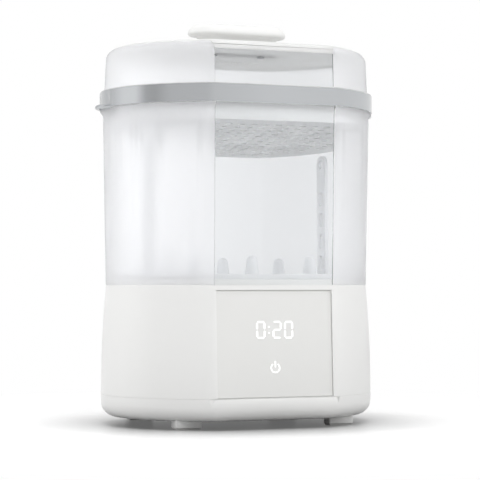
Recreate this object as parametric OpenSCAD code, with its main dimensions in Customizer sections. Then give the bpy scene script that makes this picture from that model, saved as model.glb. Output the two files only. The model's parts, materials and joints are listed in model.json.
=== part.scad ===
// Steam steriliser and dryer for baby bottles.
// Origin on the table under the middle of the machine, +Z up, the control panel faces -Y.
// Every level of the machine has one plan: an oval of four arcs with a flat front and a flat rear.
// A wall is given as a list of [offset, z] points, where offset is the distance outside that plan.

/* [Plan] */
// Width of the plan where the chamber meets the base
plan_w = 248; // [230:1:280]
// Distance between the front flat and the rear flat
flats_d = 183; // [170:1:202]

/* [Base] */
// Height of the seam between base and chamber above the table
seam_z = 128; // [120:1:160]
// Height of the joint between housing and pan above the table
split_z = 28; // [26:1:34]
// Gap between the table and the underside of the pan
foot_h = 7.5; // [6:0.5:10]
// How far the base spreads below the seam
base_flare = 4.3; // [2:0.1:6]
// Radius of the rounded edge under the pan
pan_round = 13; // [9:0.5:14]
// Wall thickness of the base mouldings
base_wall = 2.5; // [2:0.1:3]
// Depth of the water basin below the seam
basin_drop = 28; // [24:1:32]
// Width of the rim round the basin
basin_rim = 9; // [8:0.5:10]
// How far the front of the pan stands proud of the flat
chin_proud = 1.2; // [0.5:0.1:1.6]
// Distance of the feet from the middle, to the side and to the front
foot_at = [74, 66];
// Size of a foot, across and front to back
foot_size = [24, 13];
// Thickness of the soft pad under a foot
pad_t = 1.5; // [1:0.1:2]

/* [Control panel] */
// Width of the control panel
panel_w = 111; // [90:1:112]
// Gap between the top of the control panel and the seam
panel_drop = 4.7; // [4:0.1:8]
// Thickness of the control panel
panel_t = 2.5; // [2:0.1:3]
// How far the face of the panel lies behind the flat
panel_sink = 1.4; // [0.6:0.1:2]
// Height of the panel's lower edge above the joint of the pan
panel_lift = 0.6; // [0.4:0.1:3]
// Height of the numerals of the clock
digit_h = 15.6; // [10:0.1:16]
// Height of the middle of the clock above the table
clock_z = 88.2; // [80:0.1:89]
// Height of the middle of the power symbol above the table
power_z = 54.5; // [45:0.1:60]

/* [Heating plate] */
// Sideways place of the heating plate
plate_x = -30; // [-34:1:-26]
// Radius of the hole in the basin under the heating plate
plate_hole_r = 61; // [50:0.5:62]
// Thickness of the steel of the heating plate
plate_t = 1.2; // [0.8:0.1:1.5]

/* [Dryer] */
// Sideways place of the fan and the air duct
duct_x = 78; // [76:1:80]
// Inner radius of the air duct
duct_r = 28.5; // [26:0.5:29]
// Wall thickness of the air duct
duct_wall = 2.2; // [1.8:0.1:2.4]
// Sideways place of the filter drawer
filter_x = 20; // [14:1:24]
// Width and height of the filter drawer's face
filter_size = [56, 44];
// Travel of the filter drawer
filter_travel = 34; // [28:1:40]

/* [Chamber] */
// Height of the chamber
chamber_h = 161.5; // [140:0.5:200]
// How far the chamber spreads from seam to rim
chamber_flare = 3; // [1:0.1:4]
// Wall thickness of the chamber
chamber_wall = 2.5; // [2:0.1:3]
// Width of the frosted strip beside the clear window
window_margin = 1.2; // [1:0.1:3]

/* [Bottle rack] */
// Height of the rack's floor above the basin
rack_floor = 18; // [17:0.5:22]
// Height of the rack's rim above its floor
rack_rim = 20; // [14:0.5:24]
// Height of the tops of the two lifting posts above the rack's floor
post_h = 144; // [100:1:145]
// Distance of the lifting posts from the middle
post_x = 88; // [84:1:90]
// Height of the pegs that carry the bottles
peg_h = 38; // [25:1:45]

/* [Upper basket] */
// Height of the silver ring
ring_h = 16; // [14:0.5:20]
// Thickness of the silver ring
ring_t = 2; // [1.5:0.1:2.5]
// How far the silver ring stands proud of the chamber
ring_proud = 3; // [2.5:0.1:4]
// How far the finger grips reach beyond the silver ring
grip_out = 8; // [6:0.5:12]
// Depth of the basket below the rim of the chamber
basket_drop = 14.5; // [12:0.5:20]
// Height of the pegs that carry the teats
teat_peg_h = 34; // [20:1:38]

/* [Lid] */
// Height of the lid above the silver ring
lid_h = 40.5; // [36:0.5:60]
// How far the lid narrows towards its top
lid_draft = 1.4; // [0.5:0.1:2]
// Radius of the lid's upper edge
lid_round = 10; // [7:0.5:12]
// Wall thickness of the lid
lid_wall = 2.4; // [2:0.1:3]
// Radius of the lid frost's corners beside the window
frost_corner_r = 9; // [5:0.5:12]
// Width of the handle
handle_w = 96; // [70:1:110]
// Depth of the handle
handle_d = 38; // [30:1:44]
// Height of the handle above the lid
handle_h = 24.5; // [20:0.5:30]

/* [Hidden] */
$fn = 96;
far = 400;   // longer than the machine, for cuts that run right through it
eps = 0.01;  // overrun of a cut past the face that it opens
fit = 0.3;   // gap between pieces that lift apart

// Plan of four arcs that run into each other on the diagonals of the plan.
// The arcs' centres lie arc_shift from the middle. At 33.461 both radii are whole thousandths.
half_w = plan_w / 2;
flat_y = flats_d / 2;
arc_shift = 33.461;
side_r = half_w - arc_shift;
front_r = half_w + 13.86;

// Levels of the base
base_rise = seam_z - split_z;
basin_z = seam_z - basin_drop;
deck_z = basin_z - base_wall;
tilt = atan(base_flare / base_rise);
panel_bottom = split_z + panel_lift;
panel_top = seam_z - panel_drop;
pan_floor = foot_h + base_wall;
lip_h = 5;
lip_t = 2.5;

// Levels above the base
rack_z = basin_z + rack_floor;
rim_z = seam_z + chamber_h;
basket_z = rim_z - basket_drop;
ring_top = rim_z + ring_h;
lid_top = ring_top + lid_h;

// Offsets of the nested walls at the rim
ring_out = chamber_flare + ring_proud;
ring_in = ring_out - ring_t;
basket_wall = 2;
basket_in = ring_in - basket_wall;
lid_out = basket_in - fit;
flange_t = 2;

function neat(v) = round(v * 1000) / 1000;
function base_offset(z) = neat(base_flare * (1 - pow((z - split_z) / base_rise, 2)));
function flat_offset(z) = neat(base_flare * (seam_z - z) / base_rise);
function chamber_offset(z) = neat(chamber_flare * (z - seam_z) / chamber_h);
function arc(cx, cy, r, from, to, steps = 6) = [for (i = [0:steps])
    let (a = from + (to - from) * i / steps) [neat(cx + r * cos(a)), neat(cy + r * sin(a))]];
function shift(points, by) = [for (p = points) [p[0] + by, p[1]]];
// Half the length of a flat at an offset
function half_flat(offset) = sqrt(pow(front_r + offset, 2) - pow(flat_y + offset + arc_shift, 2));

// One quarter of the oval, spun about the centre of its arc
module quarter(profile, radius, turn) {
    first = profile[0][1];
    last = profile[len(profile) - 1][1];
    rotate_extrude(angle = 90, start = turn)
        polygon(concat([[0, first]], [for (p = profile) [radius + p[0], p[1]]], [[0, last]]));
}

// Solid oval, without flats, whose wall follows the profile
module oval(profile) {
    for (s = [-1, 1]) {
        translate([s * arc_shift, 0, 0]) quarter(profile, side_r, s > 0 ? -45 : 135);
        translate([0, -s * arc_shift, 0]) quarter(profile, front_r, s > 0 ? 45 : -135);
    }
}

// Solid of the machine's plan: the oval between its two flats
module plan_solid(profile, flats = undef) {
    edge = is_undef(flats) ? profile : flats;
    intersection() {
        oval(profile);
        rotate([90, 0, 90]) linear_extrude(height = far, center = true)
            polygon(concat([for (p = edge) [flat_y + p[0], p[1]]],
                [for (i = [len(edge) - 1:-1:0]) [-flat_y - edge[i][0], edge[i][1]]]));
    }
}

// Plain prism of the plan between two heights
module plan_prism(offset, low, high) {
    plan_solid([[offset, low], [offset, high]]);
}

// Wall between two offsets
module plan_wall(outer, inner, low, high) {
    difference() {
        plan_prism(outer, low, high);
        plan_prism(inner, low - eps, high + eps);
    }
}

// Box given by its lowest and highest corners
module block(low, high) {
    translate(low) cube(high - low);
}

// Bar with round ends whose section follows [half depth, z] points
module round_bar(length, profile) {
    first = profile[0][1];
    last = profile[len(profile) - 1][1];
    reach = length / 2;
    for (s = [-1, 1]) translate([s * reach, 0, 0])
        rotate(s > 0 ? -90 : 90) rotate_extrude(angle = 180)
            polygon(concat([[0, first]], profile, [[0, last]]));
    rotate([90, 0, 90]) linear_extrude(height = length, center = true)
        polygon(concat(profile, [for (i = [len(profile) - 1:-1:0]) [-profile[i][0], profile[i][1]]]));
}

// Places children on the tilted front flat: x to the right, y into the machine, z up the flat
module on_front() {
    translate([0, -flat_y, seam_z]) rotate([-tilt, 0, 0]) children();
}

// Places children on the tilted rear flat: y out of the machine, z up the flat
module on_rear() {
    translate([0, flat_y, seam_z]) rotate([tilt, 0, 0]) children();
}

// ---- Base shell ----

base_steps = 6;
base_levels = [for (i = [0:base_steps]) split_z + base_rise * i / base_steps];
base_profile = [for (z = base_levels) [base_offset(z), z]];
base_flat = [[base_flare, split_z], [0, seam_z]];
cavity_top = seam_z - base_wall;
cavity_levels = [for (i = [0:base_steps]) split_z - eps + (cavity_top - split_z + eps) * i / base_steps];
cavity_profile = [for (z = cavity_levels) [base_offset(z) - base_wall, z]];
cavity_flat = [for (z = cavity_levels) [flat_offset(z) - base_wall, z]];
basin_wall = basin_rim - base_wall;

post_at = [[100, 32], [-100, 32], [100, -32], [-100, -32]];
post_r = 4.5;
screw_r = 1.5;
screw_gap = 0.05;
clamp_reach = plate_hole_r + 5;
clamp_post_r = 4;
clamp_z = deck_z - 14.5;
panel_pad = 3.8;
panel_gap = 0.2;
panel_ledge = 5;
panel_len = (panel_top - panel_bottom) / cos(tilt);
panel_low = -(seam_z - panel_bottom) / cos(tilt);
panel_high = panel_low + panel_len;
standoff_at = [for (s = [-1, 1], z = [-88, -42]) [s * (panel_w / 2 - 1.7), z]];
board_y = 12.5;
chimney_r = duct_r - 2.5;
chimney_wall = 2.5;
chimney_rise = 6;
gland_at = [-38, -84];
gland_hole_r = 7.2;
filter_z = -64;

module panel_frame_pad() {
    pad_x = panel_w / 2 + 1.5;
    on_front() block([-pad_x, 0.5, panel_low + eps], [pad_x, panel_sink + panel_t + panel_pad, panel_high + 2]);
}

module panel_cut() {
    on_front() block([-panel_w / 2 - panel_gap, -5, panel_low - panel_gap],
        [panel_w / 2 + panel_gap, panel_sink + panel_t, panel_high + panel_gap]);
}

module base_housing() color("white") difference() {
    plan_solid(base_profile, base_flat);
    plan_solid(cavity_profile, cavity_flat);
    plan_prism(-base_wall, cavity_top - 1, seam_z + eps);
    panel_cut();
    on_rear() {
        translate([filter_x, 0, filter_z]) block([-filter_size[0] / 2, -base_wall * 2, -filter_size[1] / 2],
            [filter_size[0] / 2, 5, filter_size[1] / 2]);
        translate([gland_at[0], 5, gland_at[1]]) rotate([90, 0, 0]) cylinder(r = gland_hole_r, h = 15);
    }
}

// Frame behind the front flat that the control panel rests on, with the standoffs of its board
module panel_frame() color("white") difference() {
    union() {
        difference() {
            intersection() {
                plan_solid(cavity_profile, cavity_flat);
                panel_frame_pad();
            }
            plan_prism(-basin_wall, deck_z, seam_z);
        }
        on_front() for (p = standoff_at) translate([p[0], board_y, p[1]])
            rotate([90, 0, 0]) cylinder(r = 3.2, h = board_y - panel_sink - panel_t - panel_pad + 1);
    }
    panel_cut();
    on_front() {
        block([-panel_w / 2 + panel_ledge, -5, panel_low + panel_ledge],
            [panel_w / 2 - panel_ledge, panel_sink + panel_t + panel_pad + 1, deck_z - seam_z - 1]);
        for (p = standoff_at) translate([p[0], board_y + eps, p[1]])
            rotate([90, 0, 0]) cylinder(r = 1.05, h = 5);
    }
}

// Ring inside the top of the housing, with the lip that the chamber stands round
module base_rim() color("white") {
    plan_wall(-base_wall, -basin_rim, cavity_top, seam_z);
    plan_wall(-chamber_wall - fit, -chamber_wall - fit - lip_t, seam_z - eps, seam_z + lip_h);
}

// Basin that hangs under the rim, with the posts that the pan is screwed to
module basin_tray() color("white") difference() {
    union() {
        difference() {
            plan_prism(-basin_wall, deck_z, cavity_top);
            plan_prism(-basin_rim, basin_z, cavity_top + eps);
        }
        for (p = post_at) translate([p[0], p[1], pan_floor]) cylinder(r = post_r, h = deck_z - pan_floor + eps);
        for (s = [-1, 1]) translate([plate_x + s * clamp_reach, 0, clamp_z])
            cylinder(r = clamp_post_r, h = deck_z - clamp_z + eps);
        translate([duct_x, 0, deck_z])
            cylinder(r = chimney_r + chimney_wall, h = base_wall + chimney_rise);
    }
    translate([plate_x, 0, deck_z - eps]) cylinder(r = plate_hole_r, h = base_wall + 2 * eps);
    translate([duct_x, 0, deck_z - eps]) cylinder(r = chimney_r, h = base_wall + chimney_rise + 2 * eps);
    for (p = post_at) translate([p[0], p[1], pan_floor - eps])
        cylinder(r = screw_r + screw_gap, h = 16);
    for (s = [-1, 1]) translate([plate_x + s * clamp_reach, 0, clamp_z - eps])
        cylinder(r = screw_r + screw_gap, h = 9);
}

pan_levels = arc(base_flare - pan_round, foot_h + pan_round, pan_round, -90, 0);
pan_profile = concat(pan_levels, [[base_flare, split_z]]);
pan_flat = concat(shift(pan_levels, chin_proud),
    [[base_flare + chin_proud, split_z - 2.4], [base_flare, split_z - 0.4], [base_flare, split_z]]);
pan_lip_h = 3;
pan_lip_in = base_flare - base_wall - panel_gap - 1.4;
screw_head_r = 3.2;

module base_pan() color("white") difference() {
    union() {
        difference() {
            plan_solid(pan_profile, pan_flat);
            plan_solid(concat(arc(base_flare - pan_round, foot_h + pan_round, pan_round - base_wall, -90, 0),
                [[base_flare - base_wall, split_z + eps]]));
        }
        intersection() {
            union() {
                plan_wall(base_flare - base_wall - panel_gap, pan_lip_in, split_z - 4, split_z + pan_lip_h);
                plan_wall(base_flare - base_wall + 0.5, pan_lip_in, split_z - 4, split_z - 0.5);
            }
            for (s = [-1, 1]) block([s > 0 ? 62 : -far, -far, 0], [s > 0 ? far : -62, far, far]);
        }
        for (p = power_post_at) translate([p[0], p[1], pan_floor - eps]) cylinder(r = 3, h = 6);
        for (s = [-1, 1]) translate([duct_x, s * fan_lug_y, pan_floor - eps])
            cylinder(r = 4, h = fan_z - pan_floor + eps);
    }
    for (p = post_at) translate([p[0], p[1], foot_h - eps]) {
        cylinder(r = screw_r + 0.3, h = base_wall + 2 * eps);
        cylinder(r = screw_head_r + 0.3, h = base_wall - 1 + eps);
    }
    for (i = [-3:3]) block([i * 9 - 2, 34, foot_h - eps], [i * 9 + 2, 58, pan_floor + eps]);
}

module foot_places() {
    for (x = [-1, 1], y = [-1, 1]) translate([x * foot_at[0], y * foot_at[1], 0]) children();
}

module feet() color("gainsboro") difference() {
    foot_places()
        block([-foot_size[0] / 2, -foot_size[1] / 2, pad_t], [foot_size[0] / 2, foot_size[1] / 2, foot_h + 5]);
    plan_solid(pan_profile, pan_flat);
}

module foot_pads() color("lightgrey") foot_places()
    block([-foot_size[0] / 2 + 1, -foot_size[1] / 2 + 1, 0], [foot_size[0] / 2 - 1, foot_size[1] / 2 - 1, pad_t]);

module screw(length, head_r, head_h) {
    difference() {
        translate([0, 0, -head_h]) cylinder(r = head_r, h = head_h);
        for (a = [0, 90]) rotate(a) translate([-1.6, -0.4, -head_h - eps]) cube([3.2, 0.8, 1]);
    }
    translate([0, 0, -eps]) cylinder(r = screw_r, h = length);
}

module base_screws() color("silver") for (p = post_at)
    translate([p[0], p[1], foot_h + base_wall - 1]) screw(13, screw_head_r, 1.4);

// ---- Control panel ----

module front_panel() color("gainsboro") on_front()
    block([-panel_w / 2, panel_sink, panel_low], [panel_w / 2, panel_sink + panel_t, panel_high]);

// Segments of one numeral: a list of which of its seven strokes are lit
ZERO = [1, 1, 1, 1, 1, 1, 0];
TWO = [1, 1, 0, 1, 1, 0, 1];
digit_w = 8.6;
stroke = 1.5;
inlay = 0.25;

module numeral(lit) {
    half = (digit_h - stroke) / 2;
    side = (digit_w - stroke) / 2;
    gap = 0.35;
    tall = half - 2 * gap - stroke * 0.3;
    wide = digit_w - stroke - 2 * gap;
    places = [[0, half, 90], [side, half / 2, 0], [side, -half / 2, 0], [0, -half, 90],
        [-side, -half / 2, 0], [-side, half / 2, 0], [0, 0, 90]];
    for (i = [0:6]) if (lit[i])
        translate([places[i][0], 0, places[i][1]]) rotate([0, places[i][2], 0]) {
            long = places[i][2] == 90 ? wide : tall;
            rotate([90, 0, 0]) linear_extrude(height = inlay, center = true)
                polygon([[0, long / 2], [stroke / 2, long / 2 - stroke / 2], [stroke / 2, -long / 2 + stroke / 2],
                    [0, -long / 2], [-stroke / 2, -long / 2 + stroke / 2], [-stroke / 2, long / 2 - stroke / 2]]);
        }
}

module display_segments() color("white") on_front()
    translate([0, panel_sink - inlay / 2, (clock_z - seam_z) / cos(tilt)]) {
        translate([-13.4, 0, 0]) numeral(ZERO);
        translate([2.2, 0, 0]) numeral(TWO);
        translate([13.4, 0, 0]) numeral(ZERO);
        for (s = [-1, 1]) translate([-5.6, 0, s * 2.6]) rotate([90, 0, 0])
            cylinder(r = 0.8, h = inlay, center = true);
    }

symbol_r = 4.6;
symbol_line = 1.1;

module power_symbol() color("white") on_front()
    translate([0, panel_sink, (power_z - seam_z) / cos(tilt)]) rotate([90, 0, 0]) {
        rotate(125) rotate_extrude(angle = 290) translate([symbol_r - symbol_line, 0]) square([symbol_line, inlay]);
        translate([-symbol_line / 2, 0.6, 0]) cube([symbol_line, symbol_r + 0.8, inlay]);
    }

panel_back = panel_sink + panel_t;

module led_display() color("dimgray") on_front()
    block([-24, panel_back + 0.4, -47.5], [24, board_y, deck_z - seam_z - 1.5]);

module touch_pad() color("dimgray") on_front()
    translate([0, board_y, (power_z - seam_z) / cos(tilt)]) rotate([90, 0, 0]) {
        cylinder(r = 7, h = board_y - panel_back);
    }

module control_board() color("seagreen") on_front() difference() {
    block([-panel_w / 2 - 2, board_y, -94], [panel_w / 2 + 2, board_y + 1.6, deck_z - seam_z - 2]);
    for (p = standoff_at) translate([p[0], board_y + 2, p[1]]) rotate([90, 0, 0]) cylinder(r = 1.3, h = 3);
}

module board_screws() color("silver") on_front() for (p = standoff_at)
    translate([p[0], board_y + 1.6, p[1]]) rotate([90, 0, 0]) {
        translate([0, 0, -1.5]) cylinder(r = 2.2, h = 1.5);
        translate([0, 0, -eps]) cylinder(r = 1, h = 5);
    }

// ---- Power supply ----

power_at = [-62, 8];
power_size = [64, 66];
power_board_z = pan_floor + 6;
power_post_at = [for (x = [-1, 1], y = [-1, 1])
    [power_at[0] + x * (power_size[0] / 2 - 5), power_at[1] + y * (power_size[1] / 2 - 5)]];

module power_board() color("seagreen") translate([power_at[0], power_at[1], power_board_z])
    difference() {
        block([-power_size[0] / 2, -power_size[1] / 2, -eps], [power_size[0] / 2, power_size[1] / 2, 1.6]);
        for (x = [-1, 1], y = [-1, 1])
            translate([x * (power_size[0] / 2 - 5), y * (power_size[1] / 2 - 5), -1]) cylinder(r = 1.5, h = 4);
    }

module board_components() color("dimgray") translate([power_at[0], power_at[1], power_board_z + 1.6]) {
    block([-22, -8, 0], [-4, 8, 15]);
    block([2, -8, 0], [20, 8, 15]);
    translate([-14, 20, 0]) cylinder(r = 6, h = 18);
    translate([4, 20, 0]) cylinder(r = 5, h = 14);
    block([12, 14, 0], [24, 24, 10]);
    block([-20, -28, 0], [6, -20, 9]);
}

module ribbon_cable() color("lightgrey") translate([power_at[0] + 18, 0, 0])
    rotate([90, 0, 90]) linear_extrude(height = 12, center = true) {
        back = -flat_y - base_flare + board_y + 8;
        low = pan_floor + 1.2;
        front = power_at[1] - power_size[1] / 2 - 3;
        polygon([[back, split_z + 12], [back, low], [front, low], [front, power_board_z + 1.6],
            [front + 8, power_board_z + 1.6], [front + 8, power_board_z + 2.4], [front - 0.8, power_board_z + 2.4],
            [front - 0.8, low + 0.8], [back + 0.8, low + 0.8], [back + 0.8, split_z + 12]]);
    }

gland_r = 3.6;

module cord_gland() color("dimgray") on_rear() translate([gland_at[0], 0, gland_at[1]]) rotate([90, 0, 0])
    difference() {
        union() {
            translate([0, 0, -1.2]) cylinder(r = 9.5, h = 1.2);
            translate([0, 0, -eps]) cylinder(r = gland_hole_r - 0.15, h = base_wall + 0.2 + 2 * eps);
            translate([0, 0, base_wall + 0.2]) cylinder(r = 9, h = 4);
        }
        translate([0, 0, -3]) cylinder(r = gland_r, h = 12);
    }

// ---- Heating plate ----

seal_t = 1;
flange_r = plate_hole_r + 5.5;
dish_r = plate_hole_r - 2;
dish_z = basin_z - 5;

module at_plate() {
    translate([plate_x, 0, 0]) children();
}

module heating_plate() color("silver") at_plate() rotate_extrude()
    polygon([[0, dish_z], [dish_r, dish_z], [dish_r, basin_z + seal_t], [flange_r, basin_z + seal_t],
        [flange_r, basin_z + seal_t + plate_t], [dish_r - plate_t, basin_z + seal_t + plate_t],
        [dish_r - plate_t - 1, dish_z + plate_t], [0, dish_z + plate_t]]);

module plate_seal() color("lightgrey") at_plate() rotate_extrude() {
    translate([plate_hole_r - 1.2, basin_z]) square([flange_r - plate_hole_r + 1.2, seal_t]);
    translate([plate_hole_r - 1.2, basin_z - 3]) square([0.9, 3.5]);
}

element_t = 4;

module heating_element() color("darkgray") at_plate() {
    translate([0, 0, dish_z - element_t]) difference() {
        cylinder(r = 48, h = element_t);
        translate([0, 0, -eps]) cylinder(r = 12, h = element_t + 2 * eps);
    }
    rotate(20) rotate_extrude(angle = 320) translate([36, dish_z - element_t - 3.2]) circle(r = 3.6);
    for (s = [-1, 1]) rotate(s * 20) translate([36, s, dish_z - element_t - 3.2])
        rotate([s * 90, 0, 0]) cylinder(r = 1.6, h = 10);
}

module thermostat() color("dimgray") at_plate() {
    translate([0, 0, dish_z - 11]) cylinder(r = 8, h = 11);
    for (s = [-1, 1]) block([s * 5 - 1.5, -3, dish_z - 17], [s * 5 + 1.5, 3, dish_z - 11 + eps]);
}

module plate_clamp() color("silver") at_plate() difference() {
    union() {
        block([-clamp_reach, -7, clamp_z - 1.6], [clamp_reach, 7, clamp_z]);
        for (s = [-1, 1]) translate([s * clamp_reach, 0, clamp_z - 1.6]) cylinder(r = 7, h = 1.6);
        translate([0, 0, clamp_z - 1.6]) cylinder(r = 15, h = 1.6);
        for (s = [-1, 1]) block([s * 20 - 4, -7, clamp_z - eps], [s * 20 + 4, 7, dish_z - element_t]);
    }
    translate([0, 0, clamp_z - 3]) cylinder(r = 9.5, h = 6);
    for (s = [-1, 1]) translate([s * clamp_reach, 0, clamp_z - 3]) cylinder(r = screw_r + 0.3, h = 6);
}

module clamp_screws() color("silver") at_plate() for (s = [-1, 1])
    translate([s * clamp_reach, 0, clamp_z - 1.6]) screw(9, 3, 1.6);

// ---- Fan, air heater and duct ----

fan_z = pan_floor + 19;
fan_h = 26;
duct_out = duct_r + duct_wall;
fan_lug_y = duct_out + 4;
motor_r = 9;
motor_h = 12;
shaft_r = 1.5;
shaft_gap = 0.06;
impeller_z = fan_z + 14;
impeller_r = duct_r - 1.2;
hub_r = 11;
hub_h = 11;

module at_duct() {
    translate([duct_x, 0, 0]) children();
}

module fan_housing() color("dimgray") at_duct() difference() {
    union() {
        translate([0, 0, fan_z]) cylinder(r = duct_out, h = fan_h);
        for (s = [-1, 1]) translate([0, s * fan_lug_y, fan_z]) cylinder(r = 4, h = 3);
        for (s = [-1, 1]) block([-4, s > 0 ? duct_out - 2 : -fan_lug_y, fan_z], [4, s > 0 ? fan_lug_y : -duct_out + 2, fan_z + 3]);
    }
    difference() {
        translate([0, 0, fan_z - eps]) cylinder(r = duct_r, h = fan_h + 2 * eps);
        translate([0, 0, fan_z]) cylinder(r = motor_r + 1.6, h = 3);
        for (a = [0:60:359]) rotate(a) block([0, -1.2, fan_z], [duct_r + 1, 1.2, fan_z + 3]);
    }
    translate([0, 0, fan_z - eps]) cylinder(r = motor_r, h = 3 + 2 * eps);
    for (s = [-1, 1]) translate([0, s * fan_lug_y, fan_z - eps]) cylinder(r = 1.6, h = 4);
}

module fan_motor() color("silver") at_duct() {
    translate([0, 0, fan_z - 1]) cylinder(r = motor_r, h = motor_h);
    translate([0, 0, fan_z + motor_h - 1 - eps]) cylinder(r = shaft_r, h = 12);
}

module fan_impeller() color("black") at_duct() difference() {
    union() {
        translate([0, 0, impeller_z]) cylinder(r = hub_r, h = hub_h);
        intersection() {
            for (a = [0:360 / 7:359]) rotate(a) translate([0, 0, impeller_z + hub_h / 2])
                rotate([38, 0, 0]) block([hub_r - 2, -7, -0.7], [impeller_r + 2, 7, 0.7]);
            translate([0, 0, impeller_z]) cylinder(r = impeller_r, h = hub_h);
        }
    }
    translate([0, 0, impeller_z - eps]) cylinder(r = shaft_r + shaft_gap, h = hub_h - 1.5);
}

heater_z = fan_z + fan_h + 6;

module air_heater() color("darkgray") at_duct() translate([0, 0, heater_z]) {
    difference() {
        cylinder(r = duct_r - 0.2, h = 10);
        for (x = [-24:4:20]) intersection() {
            block([x + 0.4, -far, -1], [x + 3.6, far, 11]);
            translate([0, 0, -1]) cylinder(r = duct_r - 2, h = 12);
            for (s = [-1, 1]) block([-far, s > 0 ? 1.2 : -far, -1], [far, s > 0 ? far : -1.2, 11]);
        }
    }
}

module air_duct() color("whitesmoke") at_duct() difference() {
    union() {
        translate([0, 0, fan_z + fan_h]) cylinder(r = duct_out, h = deck_z - fan_z - fan_h);
        translate([0, 0, deck_z - 2]) cylinder(r = duct_out + 2.5, h = 2);
    }
    translate([0, 0, fan_z + fan_h - eps]) cylinder(r = duct_r, h = deck_z - fan_z);
}

module outlet_hood() color("white") at_duct() {
    seat = basin_z + chimney_rise;
    difference() {
        union() {
            translate([0, 0, seat - 4]) cylinder(r = chimney_r - 0.2, h = 11);
            translate([0, 0, seat]) cylinder(r = chimney_r + chimney_wall - 0.5, h = 1.4);
            translate([0, 0, seat + 7 - eps]) cylinder(r1 = chimney_r + 2.2, r2 = chimney_r, h = 2);
        }
        translate([0, 0, seat - 4 - eps]) cylinder(r = chimney_r - 2, h = 11);
        for (a = [0:30:359]) rotate(a) block([10, -3.6, seat + 2.2], [far, 3.6, seat + 6.4]);
    }
}

// ---- Filter ----

tray_deep = 22;
bay_wall = 1.4;
bay_y = -base_wall * 2;
bay_deep = tray_deep + 4;

module on_filter() {
    on_rear() translate([filter_x, 0, filter_z]) children();
}

// Square tube of a width and height, between two depths
module filter_box(grow, near, deep) {
    block([-filter_size[0] / 2 - grow, -deep, -filter_size[1] / 2 - grow],
        [filter_size[0] / 2 + grow, near, filter_size[1] / 2 + grow]);
}

module filter_bay() color("whitesmoke") on_filter() difference() {
    filter_box(bay_wall, -base_wall - 0.1, bay_deep);
    filter_box(-0.1, 0, bay_deep - 1.6);
    for (x = [-22:8:22]) block([x - 2.6, -far, -18], [x + 2.6, 0, 18]);
}

module filter_drawer() color("white") on_filter() difference() {
    union() {
        filter_box(-0.4, 0, base_wall);
        filter_box(-1, -base_wall + eps, tray_deep);
    }
    filter_box(-2.4, -base_wall, tray_deep + eps);
    for (z = [-14:5:11]) block([-22, -far, z - 1.2], [22, 1, z + 1.2]);
    translate([0, 1.2, filter_size[1] / 2 - 3.6]) rotate([0, 90, 0]) cylinder(r = 2.4, h = 26, center = true);
}

module air_filter() color("lightyellow") on_filter() difference() {
    filter_box(-2.7, -base_wall - 0.2, tray_deep - 1);
    for (x = [-22:3:21]) rotate([0, 0, 0]) linear_extrude(height = 30, center = true)
        polygon([[x, -tray_deep + 1 - eps], [x + 2.2, -tray_deep + 1 - eps], [x + 1.1, -6]]);
}

// ---- Bottle rack ----

rack_out = -basin_rim - 1;
rack_wall = 1.8;
bottle_at = [for (x = [-1, 0, 1], y = [-1, 1]) [x * 58, y * 37]];
post_t = 3.6;
post_w = 18;
rack_top = rack_z + rack_rim;

module rack_arch(x, y, half) {
    translate([x, y, 0]) block([-half, -half, basin_z - 1], [half, half, rack_z - 5]);
}

module bottle_rack() color("whitesmoke") difference() {
    union() {
        plan_wall(rack_out, rack_out - rack_wall, rack_z - 2, rack_top);
        plan_prism(rack_out - rack_wall / 2, rack_z - 2, rack_z);
        for (p = bottle_at) translate([p[0], p[1], rack_z - eps]) {
            cylinder(r1 = 8.5, r2 = 5, h = peg_h - 4.5);
            translate([0, 0, peg_h - 4.5]) sphere(r = 5);
        }
        for (s = [-1, 1]) block([s * post_x - 5, -post_w / 2 - 3, rack_z - eps], [s * post_x + 5, post_w / 2 + 3, rack_z + 12]);
    }
    for (s = [-1, 1]) block([s * post_x - post_t / 2 - 0.1, -post_w / 2 - 0.1, rack_z + 1],
        [s * post_x + post_t / 2 + 0.1, post_w / 2 + 0.1, rack_z + 13]);
    for (p = bottle_at) translate([p[0], p[1], rack_z - 3]) for (a = [0:45:359]) rotate(a)
        translate([16, 0, 0]) cylinder(r = 3.6, h = 5);
    for (x = [-29, 29], y = [-60, -20, 0, 20, 60]) translate([x, y, rack_z - 3]) cylinder(r = 4, h = 5);
}

// Skirt that the bottle rack stands on, open at its arches so that steam passes
module rack_skirt() color("whitesmoke") difference() {
    plan_wall(rack_out, rack_out - rack_wall, basin_z, rack_z - 2);
    for (x = [-60, -20, 20, 60]) for (y = [-80, 80]) rack_arch(x, y, 14);
    for (x = [-110, 110]) rack_arch(x, 0, 30);
}

module rack_posts() color("whitesmoke") for (s = [-1, 1]) translate([s * post_x, 0, 0]) difference() {
    rotate([90, 0, 90]) linear_extrude(height = post_t, center = true) difference() {
        union() {
            translate([-post_w / 2, rack_z + 1]) square([post_w, post_h - 1 - post_w / 2]);
            translate([0, rack_z + post_h - post_w / 2]) circle(r = post_w / 2);
        }
        translate([0, rack_z + post_h - post_w / 2]) circle(r = post_w / 2 - 4.5);
        for (z = [rack_z + 26:22:rack_z + post_h - 38]) translate([-3, z]) square([6, 14]);
    }
}

// ---- Chamber ----

lip_drop = 5;
lip_out = ring_proud - 0.5;
window_half_low = half_flat(0) - window_margin;
window_half_high = half_flat(chamber_flare) - window_margin;

chamber_outer = [[0, seam_z], [chamber_offset(rim_z - lip_drop), rim_z - lip_drop],
    [chamber_flare + lip_out, rim_z - 1.2], [chamber_flare + lip_out, rim_z]];
chamber_inner = [[-chamber_wall, seam_z - eps], [chamber_flare - chamber_wall, rim_z + eps]];
window_top = rim_z + 1;

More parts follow.
